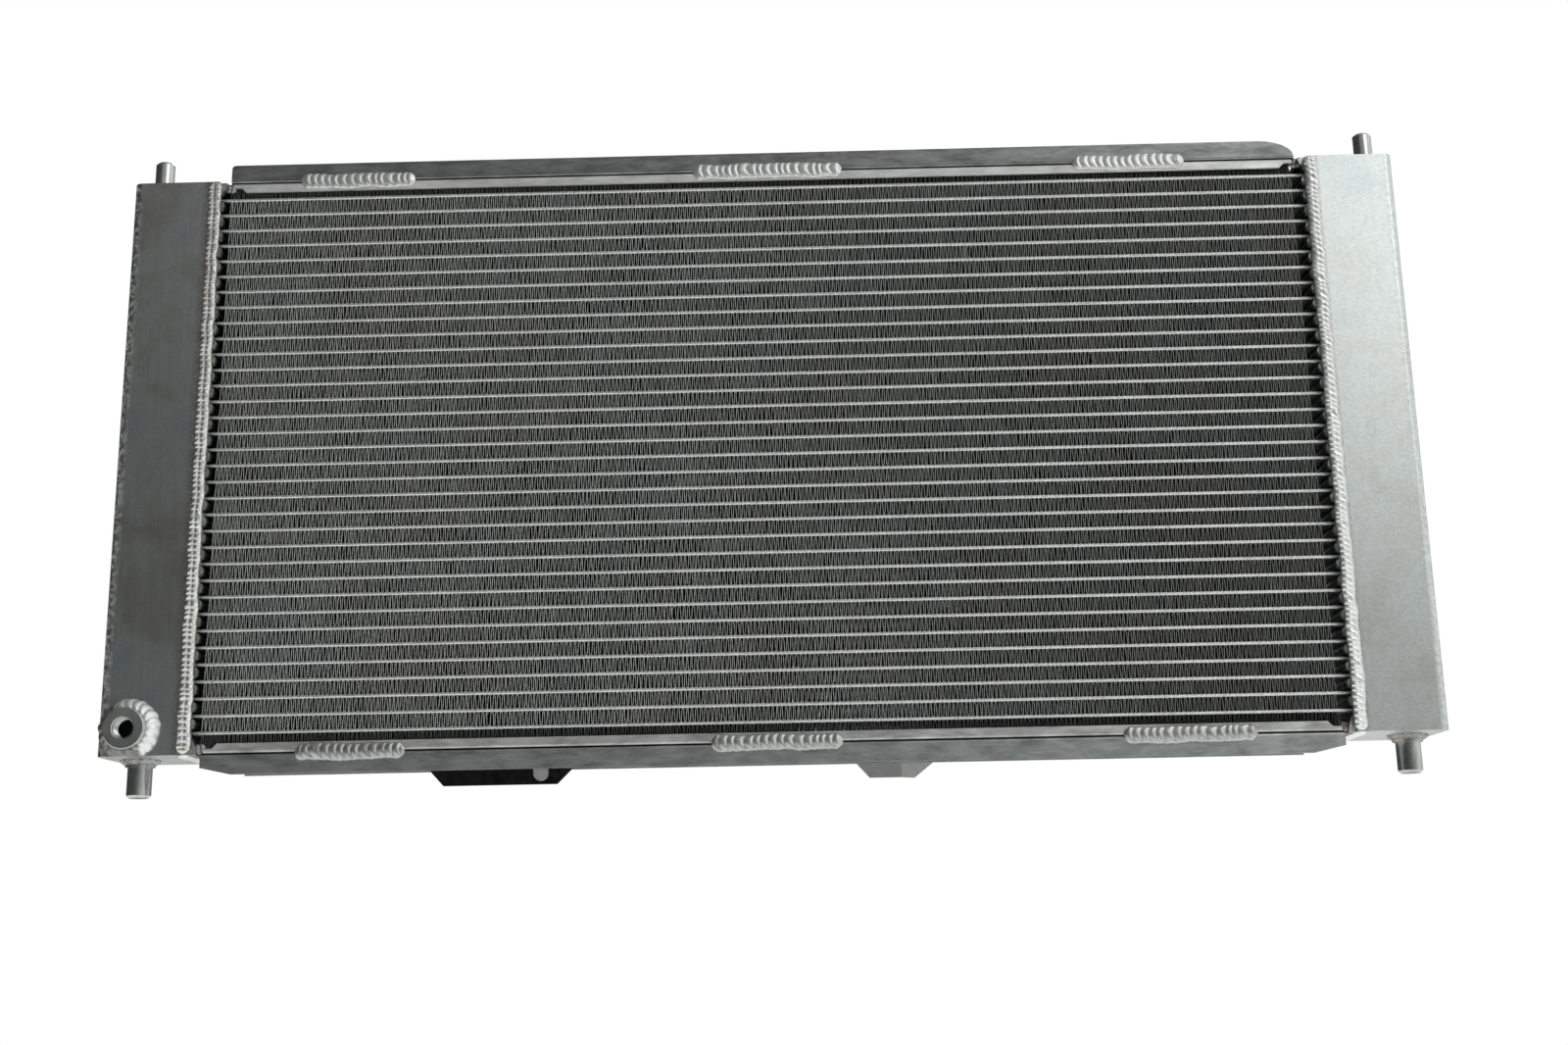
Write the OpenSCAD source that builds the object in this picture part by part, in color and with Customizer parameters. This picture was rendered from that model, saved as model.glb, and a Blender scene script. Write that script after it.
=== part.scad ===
// Crossflow car radiator, all aluminium: a brazed core of flat tubes and folded fins between
// two header plates, folded side tanks with end caps, and rails stitch-welded above and below.
// Upright as installed: +Z up, the front faces -Y, and +X is to the right seen from the front.
// The origin is midway between the two lower mounting pins, on the plane of their shoulders.

/* [Core] */
// Number of flat tubes
tube_count = 34; // [20:1:34]
// Distance between the centres of neighbouring tubes
tube_pitch = 10; // [9:0.5:12]
// Thickness of a flat tube
tube_t = 2.2; // [1.8:0.1:2.6]
// Front-to-back width of a flat tube
tube_d = 42; // [38:1:46]
// Wall of a flat tube
tube_wall = 0.4; // [0.3:0.05:0.6]
// Front-to-back depth of a fin strip
fin_d = 40.6; // [36:0.2:40.6]
// Folds along one fin strip
fin_folds = 20; // [12:1:40]
// Thickness of a fin leg, measured along the strip
fin_leg = 1.35; // [0.4:0.05:2]
// Height of the fin row under the lowest tube
lower_fin_h = 9.6; // [7:0.2:12]
// Clear gap between the left header plate and the fins
left_fin_gap = 4.2; // [3.5:0.1:12]
// Clear gap between the right header plate and the fins
right_fin_gap = 7.2; // [3.5:0.1:12]

/* [Headers and tanks] */
// Distance from the middle to the core side of each header plate
header_x = 334; // [300:1:350]
// Thickness of a header plate
header_t = 2; // [1.5:0.1:3]
// Depth of a header's rim, out to its joint with the tank
rim_w = 3.5; // [3:0.1:6]
// How far the ribs between the tubes stand out of a header
rib_h = 2.5; // [1:0.1:3]
// How far the ribs at the ends stand out of a header
end_rib_h = 4; // [1:0.1:4]
// Distance from the middle to the outer wall of each tank
tank_x = 387; // [375:1:400]
// Front-to-back depth of a tank
tank_d = 56; // [54:1:70]
// Sheet thickness of the tanks and their end caps
tank_wall = 2.5; // [2:0.1:3]
// Outside corner radius of a tank
tank_r = 5; // [4:0.5:8]
// Height of the lowest tube above the underside of the tanks
lowest_tube = 13; // [12.6:0.1:16]
// Height of a tank above the highest tube
above_tubes = 9.5; // [8:0.1:14]

/* [Rails] */
// Front-to-back width of the side plates and rails
rail_d = 45; // [44:0.5:47]
// Sheet thickness of the side plates and rails
rail_t = 1.5; // [1:0.1:2]
// Half the length of a side plate
plate_x = 327; // [280:1:329]
// Height of a side plate's lips
lip_h = 6; // [4:0.5:6.5]
// Length of the notch at each end of a lip
notch_w = 8; // [4:1:15]
// Length of the slope at the end of a lip
notch_slope = 3; // [0.5:0.5:4]
// Half the length of a rail
rail_x = 328.5; // [280:0.5:330]
// Height of a rail's front flange
front_flange = 11.9; // [9:0.1:16]
// Height of a rail's rear flange
rear_flange = 9; // [6:0.1:9]
// Length of the rounded corner at the right end of the upper rail
upper_cut_w = 22; // [5:1:40]
// Length of the sloped cuts at both ends of the lower rail
lower_cut_w = 18; // [5:1:40]
// Length cut off the lower rail's rear flange at both ends
rear_cut_w = 12.5; // [1:0.5:40]

/* [Fittings] */
// Shoulder height of the mounting pins
shoulder_h = 4; // [3:0.5:6]
// Width of a pin's shoulder around the pin
shoulder_w = 1.5; // [1:0.1:2]
// Radius of the lower mounting pins
lower_pin_r = 7; // [5:0.5:8]
// Length of a lower mounting pin below its shoulder
lower_pin_l = 18; // [12:1:30]
// Distance from the middle to each lower pin
lower_pin_x = 371; // [350:1:374]
// Radius of the upper mounting pins
upper_pin_r = 6; // [5:0.5:7]
// Length of an upper mounting pin above its shoulder
upper_pin_l = 21; // [12:1:30]
// Distance from the middle to each upper pin
upper_pin_x = 378.5; // [350:0.5:379]
// Chamfer on the tips of the pins
pin_chamfer = 1.5; // [0.5:0.1:2]
// Outside radius of the hose necks
neck_r = 17.5; // [14:0.5:20]
// Wall of the hose necks
neck_wall = 2.5; // [2:0.1:3]
// Length of a hose neck behind its shoulder
neck_l = 38; // [25:1:60]
// Distance from the middle to the hose necks
neck_x = 362; // [361:1:363]
// Height of the inlet neck below the top of the tank
inlet_drop = 42; // [30:1:80]
// Height of the outlet neck above the underside of the tank
outlet_rise = 48; // [30:1:80]
// Outside radius of the sensor boss
boss_r = 12; // [11:0.5:14]
// Radius of the sensor boss's hole, before it is threaded
boss_hole_r = 5.7; // [5:0.1:8]
// Radius of the hole in the tank behind the sensor boss
port_r = 9.5; // [8.5:0.5:11]
// How far the sensor boss stands off the tank
boss_l = 10; // [6:1:16]
// Distance from the middle to the sensor boss
boss_x = 368.3; // [365:0.1:372]
// Height of the sensor boss above the underside of the tank
boss_z = 15; // [14:0.5:30]

/* [Brackets] */
// Thickness of the bracket sheets
bracket_t = 2; // [1.5:0.1:3]
// Depth that the brackets reach below the underside of the tanks
bracket_drop = 18; // [15:0.5:25]
// Width of the locating tab
tab_w = 8.5; // [6:0.5:12]

/* [Welds] */
// Width of a header weld bead
header_bead_w = 8; // [5:0.5:8]
// Height of a header weld bead above the sheet
header_bead_h = 2.2; // [1:0.1:3]
// Width of a rail weld bead
rail_bead_w = 10; // [6:0.5:10.5]
// Height of a rail weld bead above the sheet
rail_bead_h = 2; // [1:0.1:3]
// Leg of the weld fillets around the pins and necks
fillet = 3.5; // [2:0.1:3.8]
// Leg of the fillet weld around the sensor boss
boss_fillet = 6.2; // [4:0.1:7]

/* [Hidden] */
$fn = 48;

slack = 1; // overshoot of a cutting shape past the face that it cuts
far = 30; // overshoot of a cutting shape that only needs to be long enough
core_h = (tube_count - 1) * tube_pitch;
tank_z0 = shoulder_h;
tank_h = lowest_tube + core_h + above_tubes;
tank_z1 = tank_z0 + tank_h;
joint_x = header_x + rim_w;
tube_x = header_x + header_t + 1;
fin_h = tube_pitch - tube_t;
fin_x0 = -header_x + left_fin_gap;
fin_x1 = header_x - right_fin_gap;
lower_plate_z = tube_z(0) - tube_t / 2 - lower_fin_h;
upper_plate_z = tube_z(tube_count - 1) + tube_t / 2 + fin_h;
lower_rail_z = lower_plate_z - rail_t;
upper_rail_z = upper_plate_z + rail_t;
inlet_z = tank_z1 - inlet_drop;
outlet_z = tank_z0 + outlet_rise;
boss_cz = tank_z0 + boss_z;
bend_r = 1.8;
rib_w = 6.4;
rib_clear = 0.6; // from an end rib to the nearest tube
// the stitch welds on each rail, as [start, end] along X
upper_stitches = [[-285, -214], [-42, 50], [192, 261]];
lower_stitches = [[-274, -210], [-34, 42], [202, 279]];

function tube_name(i) = str("tube_", i < 9 ? "0" : "", i + 1);
function tube_z(i) = tank_z0 + lowest_tube + i * tube_pitch;
// radius of the arc through a chord w wide and h high
function arc_r(w, h) = (w * w / 4 + h * h) / (2 * h);

// Draws its children, which are made for the right side, on the left side
module on_left() mirror([1, 0, 0]) children();

// Extrudes an outline given in Y and Z along X, from x0 to x1
module along_x(x0, x1) {
    translate([x0, 0, 0]) rotate([90, 0, 90]) linear_extrude(x1 - x0) children();
}

// Extrudes an outline given in X and Z along Y, from y0 to y1
module along_y(y0, y1) {
    translate([0, y1, 0]) rotate([90, 0, 0]) linear_extrude(y1 - y0) children();
}

// A flat bar with half-round edges
module flat_oval(w, t) {
    square([w - t, t], center = true);
    for (s = [-1, 1]) translate([s * (w - t) / 2, 0]) circle(d = t);
}

// A segment of a circle standing on the X axis, w wide and h high
module bead_profile(w, h) {
    r = arc_r(w, h);
    intersection() {
        translate([0, h - r]) circle(r = r);
        translate([-w, 0]) square([2 * w, h + slack]);
    }
}

// A channel with its web on the X axis, open upwards, with rounded bends
module channel_profile(w, h, t, r) {
    difference() {
        rounded_foot(w, h, r);
        translate([0, t]) rounded_foot(w - 2 * t, h, r - t);
    }
}

module rounded_foot(w, h, r) {
    translate([-w / 2, r]) square([w, h - r]);
    translate([-w / 2 + r, 0]) square([w - 2 * r, r + 0.01]);
    for (s = [-1, 1]) translate([s * (w / 2 - r), r]) circle(r = r);
}

// One flat tube with a web between its two chambers
module tube(i) {
    chamber_w = (tube_d - 3 * tube_wall) / 2;
    color("silver") translate([0, 0, tube_z(i)]) along_x(-tube_x, tube_x) difference() {
        flat_oval(tube_d, tube_t);
        for (s = [-1, 1]) translate([s * (chamber_w + tube_wall) / 2, 0])
            flat_oval(chamber_w, tube_t - 2 * tube_wall);
    }
}

// One folded fin strip, h high, standing on z; its crests are flat where they are brazed
module fin_strip(z, h) {
    run = (fin_x1 - fin_x0) / (2 * fin_folds);
    rise = fin_leg / 2 * h / run;
    turns = [for (i = [0 : 2 * fin_folds]) [fin_x0 + i * run, i % 2 == 0 ? 0 : h]];
    upper = [for (p = turns) p + [0, rise]];
    lower = [for (i = [2 * fin_folds : -1 : 0]) turns[i] - [0, rise]];
    translate([0, 0, z]) along_y(-fin_d / 2, fin_d / 2) intersection() {
        polygon(concat(upper, lower));
        translate([fin_x0, 0]) square([fin_x1 - fin_x0, h]);
    }
}

// All fin strips: one between each pair of tubes and one outside each outer tube
module fin_strips() {
    color("dimgray") {
        fin_strip(lower_plate_z, lower_fin_h);
        for (i = [0 : tube_count - 1]) fin_strip(tube_z(i) + tube_t / 2, fin_h);
    }
}

// Rib of the right header, w wide, standing h out of the plate towards the core
module rib(depth, z, w, h) {
    foot = 0.5;
    translate([header_x, 0, z]) along_y(-depth / 2, depth / 2) rotate(90) translate([0, -foot])
        bead_profile(w, h + foot);
}

// Header plate of the right side, with a rim, ribs between the tubes and a slot for each tube
module header() {
    inner_d = tank_d - 2 * tank_wall;
    difference() {
        union() {
            difference() {
                translate([header_x, -tank_d / 2, tank_z0]) cube([rim_w, tank_d, tank_h]);
                translate([header_x + header_t, -inner_d / 2, tank_z0 + tank_wall])
                    cube([rim_w, inner_d, tank_h - 2 * tank_wall]);
            }
            for (i = [0 : tube_count - 2])
                rib(inner_d, tube_z(i) + tube_pitch / 2, rib_w, rib_h);
            intersection() {
                union() {
                    rib(inner_d, tank_z0, 2 * (lowest_tube - tube_t / 2 - rib_clear), end_rib_h);
                    rib(inner_d, tank_z1, 2 * (above_tubes - tube_t / 2 - rib_clear), end_rib_h);
                }
                translate([0, -tank_d, tank_z0]) cube([tank_x, 2 * tank_d, tank_h]);
            }
        }
        for (i = [0 : tube_count - 1]) translate([0, 0, tube_z(i)])
            along_x(header_x - far, header_x + far) flat_oval(tube_d, tube_t);
    }
}

// Plan of the right tank from its joint outwards, with its walls moved in by inset
module tank_plan(start, inset) {
    r = tank_r - inset;
    half = tank_d / 2 - inset;
    edge = tank_x - inset;
    translate([start, -half]) square([edge - r - start, 2 * half]);
    translate([edge - r - 0.01, -half + r]) square([r + 0.01, 2 * (half - r)]);
    for (s = [-1, 1]) translate([edge - r, s * (half - r)]) circle(r = r);
}

// Folded shell of the right tank, open towards the header and at both ends
module tank_shell() {
    translate([0, 0, tank_z0]) linear_extrude(tank_h) difference() {
        tank_plan(joint_x, 0);
        tank_plan(joint_x - slack, tank_wall);
    }
}

// Hole for a hose neck through the rear wall of the right tank
module neck_hole(z) {
    translate([neck_x, 0, z]) rotate([-90, 0, 0]) cylinder(r = neck_r - neck_wall, h = tank_d);
}

module left_tank() {
    color("slategray") on_left() difference() {
        tank_shell();
        neck_hole(outlet_z);
        translate([boss_x, 0, boss_cz]) rotate([90, 0, 0]) cylinder(r = port_r, h = tank_d);
    }
}

module right_tank() {
    color("lightgray") difference() {
        tank_shell();
        neck_hole(inlet_z);
    }
}

// End cap of the right tank, set between its walls with its lower face at z
module tank_cap(z) {
    color("gray") translate([0, 0, z]) linear_extrude(tank_wall) tank_plan(joint_x, tank_wall);
}

// Side plate over the outer fins, drawn for the top: its lips point down to the core
module side_plate(z) {
    notch_h = lip_h / 2;
    color("darkgray") translate([0, 0, z]) mirror([0, 0, 1]) difference() {
        along_x(-plate_x, plate_x) channel_profile(rail_d, lip_h, rail_t, bend_r);
        for (s = [-1, 1]) along_y(-rail_d, rail_d) polygon([
            [s * (plate_x - notch_w), lip_h],
            [s * (plate_x - notch_w + notch_slope), notch_h],
            [s * (plate_x + slack), notch_h],
            [s * (plate_x + slack), lip_h + slack],
            [s * (plate_x - notch_w), lip_h + slack]
        ]);
    }
}

// Rail with its web on the XY plane and its flanges upwards
module rail() {
    difference() {
        along_x(-rail_x, rail_x) channel_profile(rail_d, front_flange, rail_t, bend_r);
        translate([-rail_x - slack, 0, rear_flange]) cube([2 * rail_x + 2 * slack, rail_d, far]);
    }
}

module top_rail() {
    color("gray") translate([0, 0, upper_rail_z]) difference() {
        rail();
        along_y(-rail_d, rail_d) polygon(concat(
            [for (a = [0 : 15 : 90]) [
                rail_x - upper_cut_w * (1 - sin(a)),
                rail_t + (front_flange - rail_t) * cos(a)
            ]],
            [[rail_x + far, rail_t], [rail_x + far, far], [rail_x - upper_cut_w, far]]
        ));
        along_y(-rail_d, rail_d) polygon([
            [-rail_x, front_flange - 2],
            [-rail_x + 0.6, front_flange - 0.6],
            [-rail_x + 2, front_flange],
            [-rail_x + 2, front_flange + slack],
            [-rail_x - far, front_flange + slack],
            [-rail_x - far, front_flange - 2]
        ]);
    }
}

module bottom_rail() {
    end_h = front_flange - 4;
    color("gray") translate([0, 0, lower_rail_z]) mirror([0, 0, 1]) difference() {
        rail();
        for (s = [-1, 1]) along_y(-rail_d, rail_d) polygon([
            [s * (rail_x - lower_cut_w), front_flange],
            [s * rail_x, end_h],
            [s * (rail_x + far), end_h],
            [s * (rail_x + far), front_flange + far],
            [s * (rail_x - lower_cut_w), front_flange + far]
        ]);
        for (s = [0, 1]) mirror([s, 0, 0]) translate([rail_x - rear_cut_w, 0, 2 * rail_t])
            cube([rear_cut_w + slack, rail_d, far]);
    }
}

// Hose neck of the right tank: a shoulder against the rear wall and a plain tube behind it
module hose_neck(z) {
    color("silver") translate([neck_x, tank_d / 2, z]) rotate([-90, 0, 0]) difference() {
        union() {
            cylinder(r = neck_r + shoulder_w, h = shoulder_h);
            cylinder(r = neck_r, h = shoulder_h + neck_l);
        }
        translate([0, 0, -slack]) cylinder(r = neck_r - neck_wall, h = neck_l + far);
    }
}

// Threaded boss on the front of the left tank, over its hole
module sensor_boss() {
    color("silver") translate([-boss_x, -tank_d / 2, boss_cz]) rotate([90, 0, 0]) difference() {
        cylinder(r = boss_r, h = boss_l);
        translate([0, 0, -slack]) cylinder(r = boss_hole_r, h = boss_l + 2 * slack);
    }
}

// Mounting pin with a shoulder, standing on the XY plane
module pin(r, l) {
    color("silver") {
        cylinder(r = r + shoulder_w, h = shoulder_h);
        cylinder(r = r, h = shoulder_h + l - pin_chamfer);
        translate([0, 0, shoulder_h + l - pin_chamfer])
            cylinder(r1 = r, r2 = r - pin_chamfer, h = pin_chamfer);
    }
}

module top_pin() translate([upper_pin_x, 0, tank_z1]) pin(upper_pin_r, upper_pin_l);

module bottom_pin() {
    translate([lower_pin_x, 0, tank_z0]) mirror([0, 0, 1]) pin(lower_pin_r, lower_pin_l);
}

// Angle bracket under the lower rail: an upright plate with sloped corners and a welded foot
module left_lower_bracket() {
    x0 = -203;
    x1 = -115;
    top = lower_rail_z - rail_t;
    slope_top = tank_z0 - bracket_drop + 11;
    low = tank_z0 - bracket_drop;
    color("black") {
        along_y(4, 4 + bracket_t) polygon([
            [x0, top], [x0, slope_top], [x0 + 10, low], [x1 - 11, low], [x1, slope_top], [x1, top]
        ]);
        translate([x0, 4, top - bracket_t]) cube([x1 - x0, 16, bracket_t]);
    }
}

// Round-ended tab behind the lower rail's front flange
module locating_tab() {
    x = -132;
    y0 = -rail_d / 2 + rail_t;
    low = tank_z0 - bracket_drop;
    color("gray") along_y(y0, y0 + rail_t) {
        translate([x, low + tab_w / 2]) circle(d = tab_w);
        translate([x - tab_w / 2, low + tab_w / 2])
            square([tab_w, lower_rail_z - rail_t - low - tab_w / 2]);
    }
}

// Bracket on the back of the lower rail, with its right end bent away to the rear
module right_lower_bracket() {
    x0 = 49;
    x1 = 97;
    bend_x = 77;
    y0 = rail_d / 2;
    top = lower_rail_z - 0.5;
    slope_top = top - 7;
    low = tank_z0 - bracket_drop + 1.5;
    color("darkgray") intersection() {
        along_y(0, 3 * far) polygon([
            [x0, top], [x0, slope_top], [x0 + 9, low], [x1 - 12, low], [x1, slope_top], [x1, top]
        ]);
        translate([0, 0, low - far]) linear_extrude(3 * far) polygon([
            [x0 - slack, y0],
            [bend_x, y0],
            [x1 + slack, y0 + 15],
            [x1 + slack, y0 + 15 + bracket_t * 1.4],
            [bend_x - 0.8, y0 + bracket_t],
            [x0 - slack, y0 + bracket_t]
        ]);
    }
}

// Beads around the joint between the right header and its tank
module header_bead() {
    for (s = [0, 1]) mirror([0, s, 0]) translate([joint_x, tank_d / 2, tank_z0])
        linear_extrude(tank_h) bead_profile(header_bead_w, header_bead_h);
    for (z = [tank_z0, tank_z1]) translate([joint_x, 0, z]) mirror([0, 0, z == tank_z0 ? 1 : 0])
        along_y(-tank_d / 2, tank_d / 2) bead_profile(header_bead_w, header_bead_h);
}

module header_welds() {
    color("gainsboro") {
        header_bead();
        on_left() header_bead();
    }
}

// Stitch welds across the gap between each rail and its side plate, front and back
module rail_welds() {
    color("gainsboro") for (row = [[upper_stitches, upper_rail_z], [lower_stitches, lower_rail_z]])
        for (stitch = row[0], s = [0, 1]) mirror([0, s, 0]) translate([0, -rail_d / 2, row[1]])
            along_x(stitch[0], stitch[1]) rotate(90) bead_profile(rail_bead_w, rail_bead_h);
}

// A fillet around a cylinder of radius r that stands on the XY plane
module weld_ring(r, leg) {
    rotate_extrude() polygon([[r, 0], [r + leg, 0], [r + leg * 0.72, leg * 0.72], [r, leg]]);
}

module fitting_welds() {
    reach = tank_x - 0.5;
    color("gainsboro") intersection() {
        union() {
            for (s = [0, 1]) mirror([s, 0, 0]) {
                translate([upper_pin_x, 0, tank_z1]) weld_ring(upper_pin_r + shoulder_w, fillet);
                translate([lower_pin_x, 0, tank_z0]) mirror([0, 0, 1])
                    weld_ring(lower_pin_r + shoulder_w, fillet);
            }
            translate([neck_x, tank_d / 2, inlet_z]) rotate([-90, 0, 0])
                weld_ring(neck_r + shoulder_w, fillet);
            translate([-neck_x, tank_d / 2, outlet_z]) rotate([-90, 0, 0])
                weld_ring(neck_r + shoulder_w, fillet);
        }
        translate([-reach, -tank_d, -far]) cube([2 * reach, 2 * tank_d, tank_z1 + 2 * far]);
    }
    color("gainsboro") intersection() {
        translate([-boss_x, -tank_d / 2, boss_cz]) rotate([90, 0, 0]) weld_ring(boss_r, boss_fillet);
        translate([-reach, -tank_d, tank_z0 + 0.2]) cube([reach, tank_d, tank_h]);
    }
}

for (i = [0 : tube_count - 1]) tube(i);
fin_strips();
color("silver") on_left() header();  // left_header
color("silver") header();  // right_header
left_tank();
right_tank();
on_left() tank_cap(tank_z1 - tank_wall);  // left_tank_top_cap
on_left() tank_cap(tank_z0);  // left_tank_bottom_cap
tank_cap(tank_z1 - tank_wall);  // right_tank_top_cap
tank_cap(tank_z0);  // right_tank_bottom_cap
side_plate(upper_rail_z);  // top_side_plate
mirror([0, 0, 1]) side_plate(-lower_rail_z);  // bottom_side_plate
top_rail();
bottom_rail();
hose_neck(inlet_z);  // inlet_neck
on_left() hose_neck(outlet_z);  // outlet_neck
sensor_boss();
on_left() top_pin();  // left_top_pin
top_pin();  // right_top_pin
on_left() bottom_pin();  // left_bottom_pin
bottom_pin();  // right_bottom_pin
left_lower_bracket();
locating_tab();
right_lower_bracket();
header_welds();
rail_welds();
fitting_welds();
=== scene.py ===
"""Looks of an all-aluminium crossflow car radiator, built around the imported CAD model.

Metres, in the CAD frame: +X to the right seen from the front, +Y to the rear, +Z up.
"""
import math

import bpy
import numpy as np
from mathutils import Matrix, Vector


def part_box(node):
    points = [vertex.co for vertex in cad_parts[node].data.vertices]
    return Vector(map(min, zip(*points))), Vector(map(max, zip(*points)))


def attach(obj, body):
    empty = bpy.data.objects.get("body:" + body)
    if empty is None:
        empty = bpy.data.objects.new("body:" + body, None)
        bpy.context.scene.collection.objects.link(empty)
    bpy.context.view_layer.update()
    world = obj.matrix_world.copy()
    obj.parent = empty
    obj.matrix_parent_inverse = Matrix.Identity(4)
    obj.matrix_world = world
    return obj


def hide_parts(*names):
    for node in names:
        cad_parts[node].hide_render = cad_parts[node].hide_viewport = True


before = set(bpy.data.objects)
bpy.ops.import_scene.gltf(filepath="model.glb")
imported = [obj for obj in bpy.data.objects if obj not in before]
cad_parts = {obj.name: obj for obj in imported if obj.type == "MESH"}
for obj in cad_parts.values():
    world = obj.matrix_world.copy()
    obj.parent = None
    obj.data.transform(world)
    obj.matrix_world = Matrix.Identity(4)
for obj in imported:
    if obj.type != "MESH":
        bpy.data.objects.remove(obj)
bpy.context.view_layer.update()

MM = 0.001
ROOT = "root"
SIDES = (("left", -1), ("right", 1))   # with the sign of X
PINS = (("left_top_pin", 1), ("right_top_pin", 1), ("left_bottom_pin", -1), ("right_bottom_pin", -1))
NECKS = ("inlet_neck", "outlet_neck")
FORWARD, REARWARD = (0, -1, 0), (0, 1, 0)
TUBES = [name for name in sorted(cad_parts) if name.startswith("tube_")]


def low(node):
    """The corner of a node's box with the lowest X, Y and Z."""
    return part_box(node)[0]


def high(node):
    """The corner of a node's box with the highest X, Y and Z."""
    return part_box(node)[1]


def round_node(node, axis):
    """Centre of the foot, radius and length of a round node that points along axis."""
    lo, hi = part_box(node)
    foot = tuple(a if way > 0 else b if way < 0 else (a + b) / 2 for a, b, way in zip(lo, hi, axis))
    length = sum(b - a for a, b, way in zip(lo, hi, axis) if way)
    return foot, (hi[0] - lo[0]) / 2, length


def smooth_noise(rng, count, step):
    """Random values from -1 to 1 that change smoothly, with a new one every step samples."""
    knots = rng.uniform(-1, 1, count // step + 3)
    return np.interp(np.arange(count) / step, np.arange(len(knots)), knots)


# ---------------------------------------------------------------- camera, light and floor

CAMERA_PLACE = (0.0225, -1.0397, -0.1009)
CAMERA_TURN = (13.01, 0.69, -1.09)     # pitch, yaw and roll in degrees
LENS, SENSOR_WIDTH = 40.64, 36         # millimetres


def add_camera():
    """Looks up at the core from in front of it, a little below its lower edge."""
    data = bpy.data.cameras.new("camera")
    camera = bpy.data.objects.new("camera", data)
    bpy.context.scene.collection.objects.link(camera)
    data.sensor_width = SENSOR_WIDTH
    data.lens = LENS
    data.clip_start = 0.01
    pitch, yaw, roll = (math.radians(angle) for angle in CAMERA_TURN)
    look = Matrix.Rotation(yaw, 4, "Z") @ Matrix.Rotation(math.pi / 2 + pitch, 4, "X")
    camera.matrix_world = (Matrix.Translation(CAMERA_PLACE) @ look
                           @ Matrix.Rotation(roll, 4, "Z"))
    bpy.context.scene.camera = camera


# name, place, the point it is aimed at, width and height, watts, colour
LIGHTS = (
    ("key", (1.5, -2.0, 1.4), (0.1, 0, 0.2), (1.4, 1.4), 9, (0.97, 1, 0.985)),
    ("fill", (-0.2, -2.6, 1.6), (0, 0, 0.2), (2.4, 1.0), 1.5, (1, 1, 1)),
    ("back", (-0.4, 2.2, 1.6), (0, 0, 0.2), (2.0, 1.4), 14, (1, 1, 1)),
)


def add_area_light(name, place, target, size, power, colour):
    """A soft rectangular studio light."""
    data = bpy.data.lights.new(name, "AREA")
    data.shape = "RECTANGLE"
    data.size, data.size_y = size
    data.energy = power
    data.color = colour
    light = bpy.data.objects.new(name, data)
    light.location = place
    aim = Vector(target) - Vector(place)
    light.rotation_euler = aim.to_track_quat("-Z", "Y").to_euler()
    bpy.context.scene.collection.objects.link(light)


# brightness of the room against the share of the way from its darkest to its brightest side
ROOM_LIGHT = ((0.30, 0.07), (0.58, 0.17), (0.80, 0.42), (0.97, 0.95))
ROOM_BRIGHT_SIDE = (0.84, -0.08, 0.53)
ROOM_TINT = (0.96, 1, 0.98)


def add_world():
    """White to the camera. In reflections, dark at the front left and bright at the upper right."""
    world = bpy.data.worlds.new("studio")
    bpy.context.scene.world = world
    world.use_nodes = True
    nodes, links = world.node_tree.nodes, world.node_tree.links
    nodes.clear()
    out = nodes.new("ShaderNodeOutputWorld")
    mix = nodes.new("ShaderNodeMixShader")
    path = nodes.new("ShaderNodeLightPath")
    seen = nodes.new("ShaderNodeBackground")
    seen.inputs["Color"].default_value = (1, 1, 1, 1)
    room = nodes.new("ShaderNodeBackground")
    coords = nodes.new("ShaderNodeTexCoord")
    side = nodes.new("ShaderNodeVectorMath")
    side.operation = "DOT_PRODUCT"
    side.inputs[1].default_value = Vector(ROOM_BRIGHT_SIDE).normalized()
    ramp = nodes.new("ShaderNodeValToRGB")
    spread = nodes.new("ShaderNodeMapRange")
    spread.inputs["From Min"].default_value = -1
    ramp.color_ramp.elements.new(0.5)
    ramp.color_ramp.elements.new(0.5)
    for element, (place, grey) in zip(ramp.color_ramp.elements, ROOM_LIGHT):
        element.position = place
        element.color = (*(grey * share for share in ROOM_TINT), 1)
    links.new(coords.outputs["Generated"], side.inputs[0])
    links.new(side.outputs["Value"], spread.inputs["Value"])
    links.new(spread.outputs["Result"], ramp.inputs["Fac"])
    links.new(ramp.outputs["Color"], room.inputs["Color"])
    links.new(path.outputs["Is Camera Ray"], mix.inputs["Fac"])
    links.new(room.outputs["Background"], mix.inputs[1])
    links.new(seen.outputs["Background"], mix.inputs[2])
    links.new(mix.outputs["Shader"], out.inputs["Surface"])


FLOOR_REACH = 1.7      # from the middle to each side
FLOOR_HEIGHT = -0.30
FLOOR_GLOW = 0.49


def add_floor():
    """A pale floor well below the radiator, which is held by its pins."""
    data = bpy.data.meshes.new("floor")
    corners = ((-1, -1), (1, -1), (1, 1), (-1, 1))
    data.from_pydata([(x * FLOOR_REACH, y * FLOOR_REACH, FLOOR_HEIGHT) for x, y in corners],
                     [], [(0, 1, 2, 3)])
    floor = bpy.data.objects.new("floor", data)
    bpy.context.scene.collection.objects.link(floor)
    paint = Paint("floor", (0.86, 0.86, 0.85), metallic=0, roughness=0.9)
    paint.colour(paint.noise(0.4, 3), [(0.3, (0.84, 0.84, 0.83)), (0.7, (0.88, 0.88, 0.87))])
    paint.shader.inputs["Emission Color"].default_value = (1, 1, 1, 1)
    paint.shader.inputs["Emission Strength"].default_value = FLOOR_GLOW
    data.materials.append(paint.material)


# ---------------------------------------------------------------- materials

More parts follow.
